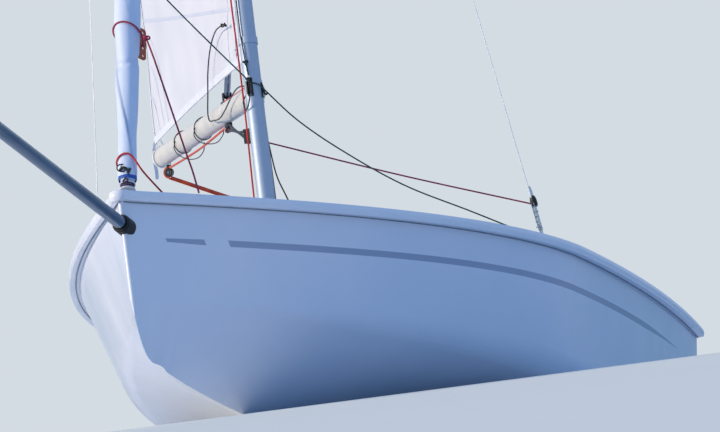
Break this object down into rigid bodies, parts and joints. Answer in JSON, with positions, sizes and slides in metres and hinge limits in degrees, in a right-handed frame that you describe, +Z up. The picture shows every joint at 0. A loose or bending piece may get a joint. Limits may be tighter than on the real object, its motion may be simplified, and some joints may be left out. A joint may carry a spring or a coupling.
{
  "type": "sailing dinghy",
  "caption": "Two-person planing sailing dinghy with a plumb bow, aluminium rig, furled jib, eased mainsail, retractable bowsprit, daggerboard and lifting rudder.",
  "frame": {"origin": "on the centreline amidships, at the height of the waterline", "axes": "+X to port, -Y towards the bow, +Z up, with the waterline level"},
  "size_m": [2.0263, 5.8908, 7.7063],
  "materials": {
    "hull_gelcoat": "glossy white gelcoat",
    "deck_gelcoat": "glossy white gelcoat",
    "nonslip": "moulded non-slip gelcoat",
    "foil_gelcoat": "polished white foil",
    "black_rubber": "soft black rubber",
    "black_plastic": "moulded black nylon",
    "pale_plastic": "moulded pale plastic",
    "anodised_alloy": "satin clear anodised",
    "pole_alloy": "dark anodised tube",
    "strut_alloy": "grey anodised tube",
    "rudder_alloy": "satin anodised",
    "stainless": "polished stainless",
    "stay_wire": "laid stainless wire",
    "boom_paint": "satin cream tube",
    "boom_fitting": "white moulded cap",
    "sailcloth": "resined woven polyester",
    "jib_cloth": "rolled polyester sailcloth",
    "clew_laminate": "rust orange board",
    "webbing": "woven polyester webbing",
    "carbon": "clear coated carbon tube"
  },
  "bodies": {
    "hull": {"hull_moulding": "hull_gelcoat", "deck_moulding": "deck_gelcoat", "cockpit_floor": "nonslip", "daggerboard_case": "deck_gelcoat", "bow_collar": "black_rubber", "mast": "anodised_alloy", "mast_bands": "anodised_alloy", "mast_step": "anodised_alloy", "masthead": "black_plastic", "spreaders": "anodised_alloy", "stem_fitting": "stainless", "forestay": "stay_wire", "furler_drum": "pale_plastic", "jib_roll": "jib_cloth", "clew_board": "clew_laminate", "gooseneck_bracket": "stainless", "rudder_gudgeons": "stainless", "mast_cleats": "black_plastic", "hatches": "pale_plastic", "mainsheet_base": "black_plastic", "bridle_eyes": "stainless", "toe_straps": "webbing", "chainplate_port": "stainless", "chainplate_starboard": "stainless", "shroud_adjuster_port": "stainless", "shroud_adjuster_starboard": "stainless", "shroud_port": "stay_wire", "shroud_starboard": "stay_wire", "jib_fairlead_port": "black_plastic", "jib_fairlead_starboard": "black_plastic"},
    "boom": {"boom_toggle": "stainless", "boom": "boom_paint", "boom_end_cap": "boom_fitting", "boom_strut": "strut_alloy", "clew_strap": "webbing", "boom_end_block": "black_plastic", "boom_mid_block": "black_plastic", "mainsail": "sailcloth"},
    "bowsprit": {"bowsprit": "pole_alloy", "bowsprit_cap": "black_plastic"},
    "daggerboard": {"daggerboard": "foil_gelcoat", "daggerboard_cap": "black_plastic"},
    "rudder": {"rudder_stock": "rudder_alloy", "blade_bolt": "stainless", "tiller": "anodised_alloy", "tiller_extension": "carbon"},
    "rudder_blade": {"rudder_blade": "foil_gelcoat"}
  },
  "joints": [
    {"name": "boom_swing", "type": "hinge", "parent": "hull", "child": "boom", "pos_m": [0, -0.64206, 1.04815], "axis": [0, 0.0366, 0.9993], "range_deg": [-86.9, 31.1], "deforming": ["mainsail"]},
    {"name": "bowsprit_slide", "type": "slide", "parent": "hull", "child": "bowsprit", "axis": [0, 0.9863, -0.165], "range_m": [0, 1.15]},
    {"name": "daggerboard_lift", "type": "slide", "parent": "hull", "child": "daggerboard", "axis": [0, 0, 1], "range_m": [0, 0.8]},
    {"name": "rudder_turn", "type": "hinge", "parent": "hull", "child": "rudder", "pos_m": [0, 2.184, 0.195], "axis": [0, 0, 1], "range_deg": [-60, 60]},
    {"name": "rudder_blade_lift", "type": "hinge", "parent": "rudder", "child": "rudder_blade", "pos_m": [0, 2.311, 0.13], "axis": [1, 0, 0], "range_deg": [0, 80]}
  ]
}
